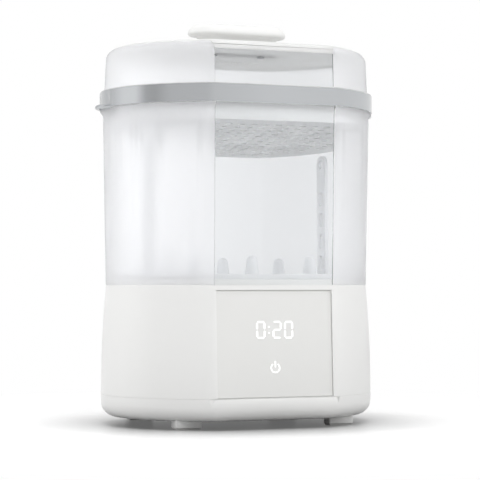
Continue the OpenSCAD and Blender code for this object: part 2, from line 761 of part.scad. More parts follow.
// Prism through the front wall with the outline of the window, grown by a margin
module window_cut(grow, top) {
    difference() {
        rotate([90, 0, 0]) linear_extrude(height = far)
            polygon([[-window_half_low - grow, seam_z - 1], [window_half_low + grow, seam_z - 1],
                [window_half_high + grow, top], [-window_half_high - grow, top]]);
        block([-far, -flat_y + 12, 0], [far, 0, far]);
    }
}

module chamber_wall_solid() difference() {
    plan_solid(chamber_outer);
    plan_solid(chamber_inner);
}

module chamber_body() color("ghostwhite") difference() {
    chamber_wall_solid();
    window_cut(0, window_top);
}

module chamber_window() color("aliceblue") intersection() {
    chamber_wall_solid();
    window_cut(-0.02, window_top);
}

// ---- Upper basket and silver ring ----

basket_out = chamber_flare - chamber_wall - 1.5;
bead_r = 2;
grip_r = 18;
grip_t = 1.6;
grip_cx = half_w + ring_out + grip_out - bead_r - grip_r;
cap_t = 0.8;

module basket_holes() {
    for (x = [-96:12:96], y = [-72:12:72])
        if (abs(x) + 0.75 * abs(y) < 116) translate([x, y, basket_z - 1]) cylinder(r = 3.4, h = 5);
}

module upper_basket() color("aliceblue") difference() {
    union() {
        difference() {
            plan_prism(basket_out, basket_z, rim_z + eps);
            plan_prism(basket_out - basket_wall, basket_z + basket_wall, rim_z + 1);
        }
        plan_wall(ring_in, basket_out - basket_wall, rim_z, rim_z + flange_t);
        plan_wall(ring_in, basket_in, rim_z + flange_t - eps, ring_top + cap_t);
        plan_wall(ring_out - 0.6, basket_in, ring_top, ring_top + cap_t);
    }
    basket_holes();
}

// Rounded finger grip with a beaded edge, on the ring's lower edge
module grip() {
    rotate_extrude() {
        translate([0, rim_z]) square([grip_r, grip_t]);
        intersection() {
            translate([grip_r, rim_z + 0.6]) circle(r = bead_r);
            translate([0, rim_z - bead_r]) square([grip_r + bead_r, 2 * bead_r + 1]);
        }
    }
}

module trim_ring() color("silver") difference() {
    union() {
        plan_prism(ring_out, rim_z, ring_top);
        for (s = [-1, 1]) translate([s * grip_cx, 0, 0]) grip();
    }
    plan_prism(ring_in, rim_z - 3, ring_top + 1);
    plan_prism(ring_out, rim_z - 3, rim_z);
}

teat_at = [for (x = [-1.5:1.5], y = [-1, 1]) [x * 46, y * 34]];
teat_z = basket_z + basket_wall;

module teat_rack() color("whitesmoke") difference() {
    plan_prism(basket_out - basket_wall - 0.5, teat_z, teat_z + 1.6);
    for (x = [-84:12:84], y = [-66:12:66])
        if (abs(x) + 0.75 * abs(y) < 104 && min([for (t = teat_at) norm([x, y] - t)]) > 20.6)
            translate([x, y, teat_z - 1]) cylinder(r = 3.4, h = 4);
}

// Pegs of the teat rack, each in its notched ring on the plate
module teat_pegs() color("whitesmoke") for (p = teat_at) translate([p[0], p[1], teat_z + 1.6]) {
    cylinder(r1 = 6.5, r2 = 4, h = teat_peg_h - 3.5);
    translate([0, 0, teat_peg_h - 3.5]) sphere(r = 4);
    difference() {
        cylinder(r = 17, h = 7);
        translate([0, 0, 1.5]) cylinder(r = 15.4, h = 7);
        for (a = [45:90:359]) rotate(a) block([5, -4, 1.5], [20, 4, 9]);
    }
}

// ---- Lid ----

lid_seat = rim_z + flange_t;
lid_side_top = lid_top - lid_round;
lid_narrow = lid_out - lid_draft;
lid_edge = arc(lid_narrow - lid_round, lid_side_top, lid_round, 0, 90);
lid_outer = concat([[lid_out, lid_seat], [lid_out, ring_top + cap_t]], lid_edge);
lid_inner = concat([[lid_out - lid_wall, lid_seat - eps], [lid_out - lid_wall, ring_top + cap_t]],
    arc(lid_narrow - lid_round, lid_side_top, lid_round - lid_wall, 0, 90));
lid_window_half = half_flat(lid_out) - window_margin;
lid_window_top = lid_top - frost_corner_r;
cover_inset = 4;
vent_rows = 3;

module lid_shell_solid() difference() {
    plan_solid(lid_outer);
    plan_solid(lid_inner);
}

// Front part of the lid where the clear window and the white cover's apron go
module lid_front(grow) {
    corner = lid_window_half + frost_corner_r;
    difference() {
        rotate([90, 0, 0]) linear_extrude(height = far) difference() {
            union() {
                translate([-lid_window_half - grow, 0]) square([2 * (lid_window_half + grow), far]);
                translate([-corner, lid_window_top]) square([2 * corner, frost_corner_r + 1]);
            }
            for (s = [-1, 1]) translate([s * corner, lid_window_top]) circle(r = frost_corner_r - grow);
        }
        block([-far, -flat_y + 13, 0], [far, far, 2 * far]);
    }
}

module lid_shell() color("ghostwhite") difference() {
    lid_shell_solid();
    lid_front(0);
    plan_prism(lid_narrow - cover_inset, lid_side_top, lid_top + 1);
}

module lid_window() color("aliceblue") intersection() {
    lid_shell_solid();
    lid_front(-0.02);
    block([-far, -far, 0], [far, 0, lid_window_top - 0.02]);
}

module lid_cover() color("white") difference() {
    union() {
        intersection() {
            lid_shell_solid();
            lid_front(-0.02);
            block([-far, -far, lid_window_top], [far, 0, lid_top + 1]);
        }
        intersection() {
            lid_shell_solid();
            plan_prism(lid_narrow - cover_inset - 0.05, lid_side_top, lid_top + 1);
        }
    }
    for (r = [0:vent_rows - 1], i = [-4:4])
        block([i * 10 - 3.5, 48 + r * 8, lid_top - 5], [i * 10 + 3.5, 51 + r * 8, lid_top + 1]);
    for (s = [-1, 1]) translate([s * handle_screw_x, 0, lid_top - 5]) cylinder(r = screw_r + 0.3, h = 6);
}

handle_half = handle_d / 2;
handle_len = handle_w - handle_d;
neck_half = handle_half - 9;
cap_z = lid_top + handle_h - 10;
handle_top = lid_top + handle_h;
handle_screw_x = 24;
handle_profile = concat([[neck_half + 1.5, lid_top], [neck_half, lid_top + 2], [neck_half, cap_z - 2.5],
    [neck_half + 2.5, cap_z], [handle_half - 1.5, cap_z]],
    arc(handle_half - 9, cap_z + 1.5, 9, 0, 62, 6),
    [[0.001, handle_top]]);

module lid_handle() color("white") difference() {
    round_bar(handle_len, handle_profile);
    for (s = [-1, 1]) translate([s * handle_screw_x, 0, lid_top - eps])
        cylinder(r = screw_r + screw_gap, h = 12);
}

module handle_screws() color("silver") for (s = [-1, 1])
    translate([s * handle_screw_x, 0, lid_top - lid_wall]) screw(11, 3.4, 1.8);

base_housing();
panel_frame();
base_rim();
basin_tray();
base_pan();
feet();
foot_pads();
base_screws();
front_panel();
display_segments();
power_symbol();
led_display();
touch_pad();
control_board();
board_screws();
power_board();
board_components();
ribbon_cable();
cord_gland();
heating_plate();
plate_seal();
heating_element();
thermostat();
plate_clamp();
clamp_screws();
fan_housing();
fan_motor();
fan_impeller();
air_heater();
air_duct();
outlet_hood();
filter_bay();
filter_drawer();
air_filter();
bottle_rack();
rack_skirt();
rack_posts();
chamber_body();
chamber_window();
upper_basket();
trim_ring();
teat_rack();
teat_pegs();
lid_shell();
lid_window();
lid_cover();
lid_handle();
handle_screws();
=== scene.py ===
"""Looks of a baby bottle steriliser and dryer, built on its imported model."""

import json
import math

import bmesh
import bpy
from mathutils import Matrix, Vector
from mathutils.bvhtree import BVHTree


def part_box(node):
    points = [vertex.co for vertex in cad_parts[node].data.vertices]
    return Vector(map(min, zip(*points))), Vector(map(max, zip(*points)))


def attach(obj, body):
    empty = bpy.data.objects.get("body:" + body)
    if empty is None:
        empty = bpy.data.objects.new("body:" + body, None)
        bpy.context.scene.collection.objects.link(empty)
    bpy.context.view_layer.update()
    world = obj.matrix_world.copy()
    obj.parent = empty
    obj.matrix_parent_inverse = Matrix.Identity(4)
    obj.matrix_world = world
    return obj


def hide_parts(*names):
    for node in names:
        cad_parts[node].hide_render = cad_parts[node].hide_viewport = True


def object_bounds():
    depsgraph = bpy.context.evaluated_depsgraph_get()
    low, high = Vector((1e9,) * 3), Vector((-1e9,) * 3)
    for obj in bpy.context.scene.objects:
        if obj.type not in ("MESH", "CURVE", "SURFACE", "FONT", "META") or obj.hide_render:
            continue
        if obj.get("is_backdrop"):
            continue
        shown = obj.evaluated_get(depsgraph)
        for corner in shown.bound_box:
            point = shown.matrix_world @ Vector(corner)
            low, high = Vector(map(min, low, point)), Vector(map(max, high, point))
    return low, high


bl_info = {
    "name": "Bottle Steriliser Looks",
    "version": (1, 0, 0),
    "blender": (4, 5, 0),
    "location": "View3D > Sidebar > Steriliser",
    "description": "Gives a bottle steriliser its finishes, soft edges, studio and camera",
    "category": "Object",
}

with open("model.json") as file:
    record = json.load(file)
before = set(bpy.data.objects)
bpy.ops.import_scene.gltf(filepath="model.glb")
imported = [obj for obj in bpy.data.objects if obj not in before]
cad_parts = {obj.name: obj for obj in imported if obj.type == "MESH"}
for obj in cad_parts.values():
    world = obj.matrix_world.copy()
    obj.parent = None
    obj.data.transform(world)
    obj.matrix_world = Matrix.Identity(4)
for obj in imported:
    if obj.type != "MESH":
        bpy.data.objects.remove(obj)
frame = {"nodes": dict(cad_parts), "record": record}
NODES = frame["nodes"]
RECORD = frame["record"]
BODIES = RECORD["behaviour"]["bodies"]
BODY_OF = {node: body for body, nodes in BODIES.items() for node in nodes}
CAD_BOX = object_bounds()

# ---- Named values ----

# Angle in degrees past which an edge is rounded and counts as sharp, and the steps of a rounding.
SHARP = 40.0
ROUND_STEPS = 2
# Angle in degrees under which faces lie in one plane.
FLAT = 0.3
# Distance in metres within which corners are joined, and how far a copy with no radius may stray.
JOIN = 2e-6
STRAY = 1e-5

# Edge radius of each moulding that is shown by a rounded copy, in millimetres.
SOFT = {
    "base_housing": 0.15,
    "panel_frame": 0.3,
    "base_rim": 0.4,
    "basin_tray": 0.5,
    "base_pan": 0.5,
    "feet": 0.6,
    "foot_pads": 0.3,
    "front_panel": 0.3,
    "chamber_body": 0.5,
    "chamber_window": 0.4,
    "upper_basket": 0.0,
    "trim_ring": 0.35,
    "teat_rack": 0.0,
    "teat_pegs": 0.3,
    "bottle_rack": 0.4,
    "rack_skirt": 0.4,
    "rack_posts": 0.5,
    "lid_shell": 0.4,
    "lid_window": 0.4,
    "lid_cover": 0.5,
    "lid_handle": 0.8,
    "filter_drawer": 0.3,
    "cord_gland": 0.4,
    "outlet_hood": 0.4,
}

# Depth in metres of the relief that a bump of strength 1 stands for.
RELIEF = 0.0004

# Shader values of thin plastic that daylight shines through, with the light's travel in metres.
TRANSLUCENT = {
    "Transmission_Weight": 0.2,
    "Subsurface_Weight": 0.9,
    "Subsurface_Scale": 0.008,
    "Subsurface_Radius": (1.0, 1.0, 1.0),
}

# Strength of the light that the numerals and the power symbol give off.
GLOW = 0.35

# Share of lamp light, by colour, that passes one wall of each see-through plastic.
PASSES = {
    "frosted": (0.86, 0.862, 0.865),
    "clear": (0.98, 0.985, 0.99),
    "tray": (0.97, 0.975, 0.98),
    "rack": (0.85, 0.855, 0.86),
    "cover": (0.72, 0.72, 0.72),
}

# Camera's width of view at its lens, in millimetres.
SENSOR = 36.0

# Floor's half width and the reach of the contact shadow painted into its colour, in metres, and how
# fast that darkens.
FLOOR_HALF = 6.0
SHADOW_REACH = 0.09
SHADOW_POWER = 1.6
# Painted shadow colour of the floor under the machine, its colour away from it, and the light added
# to it.
FLOOR_PAINTED_SHADOW = (0.03, 0.03, 0.03, 1)
FLOOR_PALE = (0.95, 0.95, 0.95, 1)
FLOOR_LIFT = 0.12
# Distances in metres from the machine's axis between which the floor turns to plain white.
FADE_FROM = 0.24
FADE_TO = 0.5

# Place, height of aim and size of each lamp, in metres. Its power is the studio setting that has
# the lamp's name.
LAMPS = {
    "key": ((-1.35, 0.6, 0.5), 0.2, (1.4, 1.4)),
    "fill": ((1.25, -0.85, 0.55), 0.18, (1.1, 1.3)),
    "top": ((-0.1, -0.3, 1.25), 0.3, (1.1, 1.1)),
    "brow": ((-0.15, -0.75, 0.75), 0.34, (0.8, 0.35)),
    "back": ((-0.2, 1.3, 0.6), 0.2, (1.3, 1.2)),
}

# Brightness of the white and grey cards that shiny pieces mirror, by direction in degrees round
# the machine, and their strength.
GLOSS_CARDS = (
    (-180, 0.8),
    (-142, 0.72),
    (-120, 0.98),
    (-100, 1.0),
    (-86, 0.56),
    (-74, 0.52),
    (-62, 0.68),
    (-35, 0.7),
    (0, 0.8),
    (20, 0.88),
    (68, 0.85),
    (158, 0.85),
    (180, 0.8),
)
GLOSS_STRENGTH = 1.1


# ---- Settings ----


def colour(name, description, value):
    return bpy.props.FloatVectorProperty(
        name=name,
        description=description,
        subtype="COLOR",
        size=3,
        min=0.0,
        max=1.0,
        default=value,
    )


def length(name, description, value, low=0.0):
    return bpy.props.FloatProperty(
        name=name, description=description, unit="LENGTH", min=low, default=value
    )


def share(name, description, value):
    return bpy.props.FloatProperty(
        name=name, description=description, subtype="FACTOR", min=0.0, max=1.0, default=value
    )


def angle(name, description, degrees):
    return bpy.props.FloatProperty(
        name=name, description=description, subtype="ANGLE", default=math.radians(degrees)
    )


def power(name, description, watts):
    return bpy.props.FloatProperty(
        name=name, description=description, unit="POWER", min=0.0, default=watts
    )


class SteriliserFinish(bpy.types.PropertyGroup):
    """Colours and surface values of the machine's finishes."""

    white: colour("White plastic", "Colour of the base, lid top and handle", (0.84, 0.84, 0.83))
    panel: colour("Panel", "Colour of the control panel", (0.8, 0.8, 0.785))
    frosted: colour("Frosted plastic", "Colour of the frosted walls", (0.93, 0.933, 0.943))
    milky: colour("Milky plastic", "Colour of the racks", (0.9, 0.905, 0.915))
    silver: colour("Silver trim", "Colour of the ring", (0.55, 0.565, 0.58))
    frost: share("Frost", "Roughness of the frosted walls", 0.38)
    clearness: share("Clearness", "How much light passes the frosted walls", 0.82)


class SteriliserStudio(bpy.types.PropertyGroup):
    """Camera and lamps."""

    distance: length("Camera distance", "From the machine's axis to the camera", 1.656, 0.5)
    height: length("Camera height", "Of the camera above the table", 0.128)
    azimuth: angle("Camera azimuth", "Turn round the machine, 0 looks along +Y", -21.6)
    pitch: angle("Camera pitch", "Tilt of the camera, 90 is level", 91.46)
    swing: angle("Camera swing", "Turn of the camera away from the machine's axis", -0.107)
    lens: bpy.props.FloatProperty(
        name="Lens", description="Focal length", unit="CAMERA", default=132.4
    )
    ambient: bpy.props.FloatProperty(
        name="Ambient light", description="Strength of the light from all round", default=0.44
    )
    key: power("Key light", "Power of the softbox at the left", 9.8)
    fill: power("Fill light", "Power of the softbox at the right", 5.5)
    top: power("Top light", "Power of the softbox overhead", 5.4)
    brow: power("Brow light", "Power of the softbox above the front", 2.4)
    back: power("Back light", "Power of the softbox behind the machine", 4.0)


def finish_values():
    return bpy.context.scene.steriliser_finish


def studio_values():
    return bpy.context.scene.steriliser_studio


# ---- Node helpers ----


def add_node(tree, kind, inputs=None, **settings):
    """A node with its settings, and with its inputs set to values or linked from sockets."""
    node = tree.nodes.new(kind)
    for key, value in settings.items():
        setattr(node, key, value)
    for key, value in (inputs or {}).items():
        socket = node.inputs[key]
        if isinstance(value, bpy.types.NodeSocket):
            tree.links.new(value, socket)
        else:
            socket.default_value = value
    return node


def math_node(tree, operation, a, b, clamp=False):
    node = add_node(tree, "ShaderNodeMath", {0: a, 1: b}, operation=operation, use_clamp=clamp)
    return node.outputs[0]


def mix_colour(tree, factor, a, b):
    # Sockets 0, 6 and 7 of a Mix node are its factor and its two colours, and 2 is its result.
    return add_node(tree, "ShaderNodeMix", {0: factor, 6: a, 7: b}, data_type="RGBA").outputs[2]


def object_coordinates(tree):
    return tree.nodes.new("ShaderNodeTexCoord").outputs["Object"]


def noise(tree, vector, scale, detail=3.0, roughness=0.5):
    return add_node(
        tree,
        "ShaderNodeTexNoise",
        {"Vector": vector, "Scale": scale, "Detail": detail, "Roughness": roughness},
    ).outputs["Fac"]


# ---- Effects: the shader groups that the finishes are built on ----


def effect_group(name, inputs):
    """An empty group with its inputs, putting out a surface's colour, roughness and height."""
    group = bpy.data.node_groups.new(name, "ShaderNodeTree")
    for label, value in inputs.items():
        kind = "Float" if isinstance(value, float) else "Color" if len(value) == 4 else "Vector"
        socket = group.interface.new_socket(
            label, in_out="INPUT", socket_type="NodeSocket" + kind
        )
        socket.default_value = value
    for label, kind in (("Colour", "Color"), ("Roughness", "Float"), ("Height", "Float")):
        group.interface.new_socket(label, in_out="OUTPUT", socket_type="NodeSocket" + kind)
    return group, group.nodes.new("NodeGroupInput").outputs, group.nodes.new("NodeGroupOutput")


def about_zero(tree, pattern, amount):
    """A pattern from 0 to 1, turned into a change of this amount up and down."""
    return math_node(tree, "MULTIPLY", math_node(tree, "SUBTRACT", pattern, 0.5), amount)


def toned(tree, given, pattern):
    """The group's colour, made lighter and darker by a pattern."""
    factor = math_node(tree, "ADD", about_zero(tree, pattern, given["Tone Change"]), 1.0)
    return add_node(
        tree, "ShaderNodeVectorMath", {0: given["Colour"], "Scale": factor}, operation="SCALE"
    ).outputs[0]


def put_out(tree, end, colour, roughness, height):
    for label, value in (("Colour", colour), ("Roughness", roughness), ("Height", height)):
        tree.links.new(value, end.inputs[label])
    return tree


def moulded_skin_group():
    """Fine orange peel of moulded plastic, with broad cloudy change of gloss and tone."""
    group, given, end = effect_group(
        "Moulded Skin",
        {
            "Colour": (0.8, 0.8, 0.8, 1),
            "Tone Change": 0.03,
            "Roughness": 0.3,
            "Roughness Change": 0.06,
            "Grain Scale": 900.0,
        },
    )
    place = object_coordinates(group)
    cloud = noise(group, place, 14.0)
    smear = about_zero(group, noise(group, place, 60.0, 4.0, 0.6), given["Roughness Change"])
    rough = math_node(group, "ADD", given["Roughness"], smear, clamp=True)
    grain = noise(group, place, given["Grain Scale"], 2.0)
    return put_out(group, end, toned(group, given, cloud), rough, grain)


def brushed_lines_group():
    """Fine lines of brushed or turned metal, run along one axis of the piece."""
    group, given, end = effect_group(
        "Brushed Lines",
        {
            "Colour": (0.6, 0.6, 0.6, 1),
            "Tone Change": 0.1,
            "Roughness": 0.3,
            "Roughness Change": 0.15,
            "Stretch": (30.0, 30.0, 1200.0),
        },
    )
    stretched = add_node(
        group,
        "ShaderNodeVectorMath",
        {0: object_coordinates(group), 1: given["Stretch"]},
        operation="MULTIPLY",
    ).outputs[0]
    lines = noise(group, stretched, 1.0, 4.0, 0.65)
    wear = about_zero(group, lines, given["Roughness Change"])
    rough = math_node(group, "ADD", given["Roughness"], wear, clamp=True)
    return put_out(group, end, toned(group, given, lines), rough, lines)


def turned_rings_group():
    """Rings that a lathe leaves on a metal plate, and dull patches where water dried on it."""
    group, given, end = effect_group(
        "Turned Rings",
        {
            "Colour": (0.6, 0.6, 0.6, 1),
            "Tone Change": 0.1,
            "Roughness": 0.25,
            "Roughness Change": 0.2,
            "Centre": (0.0, 0.0, 0.0),
        },
    )
    place = object_coordinates(group)
    centred = add_node(
        group, "ShaderNodeVectorMath", {0: place, 1: given["Centre"]}, operation="SUBTRACT"
    ).outputs[0]
    rings = add_node(
        group,
        "ShaderNodeTexWave",
        {"Vector": centred, "Scale": 260.0, "Distortion": 0.6, "Detail": 2.0},
        wave_type="RINGS",
        rings_direction="Z",
    ).outputs["Fac"]
    stains = noise(group, place, 45.0, 4.0, 0.6)
    spots = add_node(
        group, "ShaderNodeMapRange", {"Value": stains, "From Min": 0.55, "From Max": 0.7}
    ).outputs[0]
    dulled = math_node(group, "MULTIPLY", spots, given["Roughness Change"])
    rough = math_node(group, "ADD", given["Roughness"], dulled, clamp=True)
    return put_out(group, end, toned(group, given, rings), rough, rings)


def board_traces_group():
    """Copper tracks and pads under the lacquer of a circuit board."""
    group, given, end = effect_group(
        "Board Traces",
        {
            "Colour": (0.02, 0.16, 0.08, 1),
            "Track Colour": (0.05, 0.3, 0.14, 1),
            "Pad Colour": (0.55, 0.56, 0.55, 1),
            "Roughness": 0.35,
            "Pad Polish": 0.1,
        },
    )
    place = object_coordinates(group)
    cells = add_node(
        group,
        "ShaderNodeTexVoronoi",
        {"Vector": place, "Scale": 170.0},
        distance="MANHATTAN",
        feature="F1",
    )
    tracks = add_node(
        group,
        "ShaderNodeTexBrick",
        {"Vector": place, "Scale": 60.0, "Mortar Size": 0.03, "Mortar Smooth": 0.0},
    ).outputs["Fac"]
    pads = math_node(group, "LESS_THAN", cells.outputs["Distance"], 0.16)
    lacquer = mix_colour(group, tracks, given["Colour"], given["Track Colour"])
    whole = mix_colour(group, pads, lacquer, given["Pad Colour"])
    polish = math_node(group, "MULTIPLY", pads, given["Pad Polish"])
    rough = math_node(group, "SUBTRACT", given["Roughness"], polish)
    return put_out(group, end, whole, rough, math_node(group, "MAXIMUM", tracks, pads))


MAKERS = {
    "Moulded Skin": moulded_skin_group,
    "Brushed Lines": brushed_lines_group,
    "Turned Rings": turned_rings_group,
    "Board Traces": board_traces_group,
}
GROUPS = {}


def effect(name):
    """The shader group of this name, made the first time that it is asked for."""
    if name not in GROUPS:
        GROUPS[name] = MAKERS[name]()
    return GROUPS[name]


# ---- Finishes and pieces ----


def finish(
    name,
    base,
    roughness,
    group="Moulded Skin",
    tone=0.03,
    change=0.06,
    bump=0.01,
    grain=900.0,
    stretch=(30.0, 30.0, 1200.0),
    centre=(0.0, 0.0, 0.0),
    **values,
):
    """A material of one Principled shader, whose colour, roughness and bump an effect gives."""
    material = bpy.data.materials.new(name)
    material.use_nodes = True
    tree = material.node_tree
    shader = tree.nodes["Principled BSDF"]
    skin = tree.nodes.new("ShaderNodeGroup")
    skin.node_tree = effect(group)
    given = {
        "Colour": (*base, 1),
        "Tone Change": tone,
        "Roughness": roughness,
        "Roughness Change": change,
        "Grain Scale": grain,
        "Stretch": stretch,
        "Centre": centre,
    }
    for key, value in given.items():
        if key in skin.inputs:
            skin.inputs[key].default_value = value
    tree.links.new(skin.outputs["Colour"], shader.inputs["Base Color"])
    tree.links.new(skin.outputs["Roughness"], shader.inputs["Roughness"])
    relief = add_node(
        tree,
        "ShaderNodeBump",
        {"Height": skin.outputs["Height"], "Strength": bump, "Distance": RELIEF},
    )
    tree.links.new(relief.outputs[0], shader.inputs["Normal"])
    for key, value in values.items():
        shader.inputs[key.replace("_", " ")].default_value = value
    return material


def lamp_rays_pass(material, tint):
    """Lets lamp light through a see-through finish, tinted, so that what is behind it is lit."""
    tree = material.node_tree
    shader = tree.nodes["Principled BSDF"]
    lamp_ray = tree.nodes.new("ShaderNodeLightPath").outputs["Is Shadow Ray"]
    clear = add_node(tree, "ShaderNodeBsdfTransparent", {"Color": (*tint, 1)})
    mix = add_node(
        tree, "ShaderNodeMixShader", {0: lamp_ray, 1: shader.outputs[0], 2: clear.outputs[0]}
    )
    tree.links.new(mix.outputs[0], tree.nodes["Material Output"].inputs["Surface"])


def set_finish(piece, material):
    if not piece.material_slots:
        piece.data.materials.append(material)
    for place in piece.material_slots:
        place.material = material


def plain_copy(piece):
    """The piece with its modifiers applied, as a new mesh object that keeps its name."""
    bpy.context.view_layer.update()
    seen = piece.evaluated_get(bpy.context.evaluated_depsgraph_get())
    mesh = bpy.data.meshes.new_from_object(seen)
    name = piece.name
    bpy.data.objects.remove(piece)
    return bpy.data.objects.new(name, mesh)


def merged_mesh(node):
    """A clean copy of a CAD node's mesh: corners joined, flat faces whole, curves smooth."""
    shape = bmesh.new()
    shape.from_mesh(NODES[node].data)
    bmesh.ops.remove_doubles(shape, verts=shape.verts, dist=JOIN)
    bmesh.ops.dissolve_limit(
        shape, angle_limit=math.radians(FLAT), verts=shape.verts, edges=shape.edges
    )
    mesh = bpy.data.meshes.new("soft_" + node)
    shape.to_mesh(mesh)
    shape.free()
    mesh.set_sharp_from_angle(angle=math.radians(SHARP))
    mesh.polygons.foreach_set("use_smooth", [True] * len(mesh.polygons))
    return mesh


def farthest(piece, node):
    """The largest distance from the piece's corners to the surface of a CAD node."""
    shape = bmesh.new()
    shape.from_mesh(NODES[node].data)
    tree = BVHTree.FromBMesh(shape)
    shape.free()
    return max(tree.find_nearest(point.co)[3] for point in piece.data.vertices)


def softened(node, radius, material):
    """A copy of a CAD node with rounded edges and smooth curves, which stands for the node.

    Where a rounding strays from the node's surface, a narrower one is tried, and then one that
    stops at its neighbours.
    """
    link = bpy.context.scene.collection.objects.link
    mesh = merged_mesh(node)
    piece = None
    for width, clamp in ((radius, False), (radius / 2, False), (radius, True)):
        if piece:
            bpy.data.objects.remove(piece)
        piece = bpy.data.objects.new("soft_" + node, mesh.copy())
        link(piece)
        if radius:
            rounding = piece.modifiers.new("rounding", "BEVEL")
            rounding.width = width
            rounding.segments = ROUND_STEPS
            rounding.limit_method = "ANGLE"
            rounding.angle_limit = math.radians(SHARP)
            rounding.use_clamp_overlap = clamp
            rounding.loop_slide = False
            rounding.harden_normals = True
        piece = plain_copy(piece)
        if farthest(piece, node) <= max(radius, STRAY):
            break
    link(piece)
    set_finish(piece, material)
    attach(piece, BODY_OF[node])
    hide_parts(node)


def cover(node, material):
    """Gives a CAD node its finish, with a soft-edged copy to stand for it where it has a radius."""
    set_finish(NODES[node], material)
    if node in SOFT:
        softened(node, SOFT[node] / 1000, material)


# ---- Operators ----


class STERILISER_OT_white_mouldings(bpy.types.Operator):
    """Finish of the white mouldings: base, pan, lid top, handle, filter drawer, feet and seal"""

    bl_idname = "steriliser.white_mouldings"
    bl_label = "White Mouldings"

    def execute(self, context):
        values = finish_values()
        gloss = finish(
            "White Plastic",
            values.white,
            0.3,
            tone=0.008,
            change=0.015,
            Coat_Weight=0.1,
            Coat_Roughness=0.15,
        )
        for node in (
            "base_housing",
            "panel_frame",
            "base_rim",
            "basin_tray",
            "base_pan",
            "lid_handle",
            "filter_drawer",
        ):
            cover(node, gloss)
        thin = finish(
            "Thin White Plastic",
            values.white,
            0.32,
            tone=0.008,
            change=0.015,
            IOR=1.4,
            **TRANSLUCENT,
        )
        lamp_rays_pass(thin, PASSES["cover"])
        cover("lid_cover", thin)
        matt = finish("Foot Plastic", [0.95 * c for c in values.white], 0.5, bump=0.05)
        cover("feet", matt)
        pad = finish("Soft Pad", (0.6, 0.6, 0.59), 0.75, bump=0.3, grain=1500.0)
        cover("foot_pads", pad)
        cover("plate_seal", finish("Silicone Seal", (0.72, 0.73, 0.74), 0.45, tone=0.08))
        return {"FINISHED"}


class STERILISER_OT_control_panel(bpy.types.Operator):
    """Finish of the control panel, its numerals and its power symbol"""

    bl_idname = "steriliser.control_panel"
    bl_label = "Control Panel"

    def execute(self, context):
        values = finish_values()
        panel = finish("Panel Face", values.panel, 0.2, tone=0.006, change=0.01, bump=0.004)
        cover("front_panel", panel)
        lit = finish("Lit White", (1.0, 1.0, 1.0), 0.35, tone=0.0)
        shader = lit.node_tree.nodes["Principled BSDF"]
        shader.inputs["Emission Color"].default_value = (1, 1, 1, 1)
        shader.inputs["Emission Strength"].default_value = GLOW
        for node in ("display_segments", "power_symbol"):
            cover(node, lit)
        return {"FINISHED"}


class STERILISER_OT_frosted_walls(bpy.types.Operator):
    """Finish of the frosted walls and the clear windows"""

    bl_idname = "steriliser.frosted_walls"
    bl_label = "Frosted Walls and Windows"

    def execute(self, context):
        values = finish_values()
        frosted = finish(
            "Frosted Plastic",
            values.frosted,
            values.frost,
            tone=0.02,
            change=0.08,
            bump=0.03,
            grain=2600.0,
            Transmission_Weight=values.clearness,
            IOR=1.3,
        )
        lamp_rays_pass(frosted, PASSES["frosted"])
        for node in ("chamber_body", "lid_shell"):
            cover(node, frosted)
        clear = finish(
            "Clear Plastic",
            (0.97, 0.98, 0.985),
            0.02,
            tone=0.0,
            change=0.01,
            bump=0.004,
            grain=300.0,
            Transmission_Weight=1.0,
            IOR=1.46,
        )
        lamp_rays_pass(clear, PASSES["clear"])
        for node in ("chamber_window", "lid_window"):
            cover(node, clear)
        tray = finish(
            "Clear Tray",
            (0.97, 0.975, 0.98),
            0.22,
            tone=0.0,
            change=0.04,
            bump=0.01,
            grain=500.0,
            IOR=1.3,
            **TRANSLUCENT,
        )
        lamp_rays_pass(tray, PASSES["tray"])
        cover("upper_basket", tray)
        return {"FINISHED"}


class STERILISER_OT_racks(bpy.types.Operator):
    """Finish of the bottle rack, its lifting posts, the teat rack and the air outlet's hood"""

    bl_idname = "steriliser.racks"
    bl_label = "Racks"

    def execute(self, context):
        tint = finish_values().milky
        milky = finish(
            "Milky Plastic", tint, 0.4, tone=0.02, change=0.03, Transmission_Weight=0.15, IOR=1.4
        )
        for node in ("bottle_rack", "rack_skirt", "rack_posts", "outlet_hood"):
            cover(node, milky)
        thin = finish(
            "Thin Milky Plastic", tint, 0.35, tone=0.02, change=0.03, IOR=1.35, **TRANSLUCENT
        )
        lamp_rays_pass(thin, PASSES["rack"])
        for node in ("teat_rack", "teat_pegs"):
            cover(node, thin)
        return {"FINISHED"}


class STERILISER_OT_silver_ring(bpy.types.Operator):
    """Finish of the silver ring"""

    bl_idname = "steriliser.silver_ring"
    bl_label = "Silver Ring"

    def execute(self, context):
        silver = finish(
            "Silver Trim",
            finish_values().silver,
            0.15,
            group="Brushed Lines",
            tone=0.04,
            change=0.06,
            bump=0.01,
            stretch=(8.0, 8.0, 1400.0),
            Metallic=1.0,
        )
        cover("trim_ring", silver)
        return {"FINISHED"}


